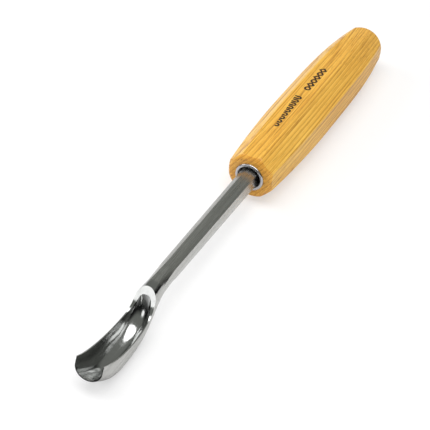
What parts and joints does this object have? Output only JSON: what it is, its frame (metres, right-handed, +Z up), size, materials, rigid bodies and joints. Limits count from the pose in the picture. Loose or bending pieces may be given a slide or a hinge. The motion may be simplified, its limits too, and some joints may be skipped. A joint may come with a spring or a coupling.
{
  "type": "carving gouge",
  "caption": "Spoon-bent woodcarving gouge: polished steel channel blade on an eight-sided shaft, inset steel ferrule and octagonal wooden handle with a domed butt.",
  "frame": {"origin": "on the table under the middle of the tool, which lies on the belly of its spoon and on the lower facet of its handle", "axes": "+Y from the cutting edge to the butt, +Z up and out of the hollow of the blade, +X to the right seen from the cutting edge towards the butt"},
  "size_m": [0.0234, 0.235, 0.0237],
  "materials": {
    "blade_steel": "satin ground shaft, mirror polished channel",
    "ferrule_steel": "turned and polished",
    "handle_wood": "oiled ash, straight grain along the handle"
  },
  "bodies": {
    "root": {"blade": "blade_steel", "ferrule": "ferrule_steel", "handle": "handle_wood"}
  },
  "joints": []
}
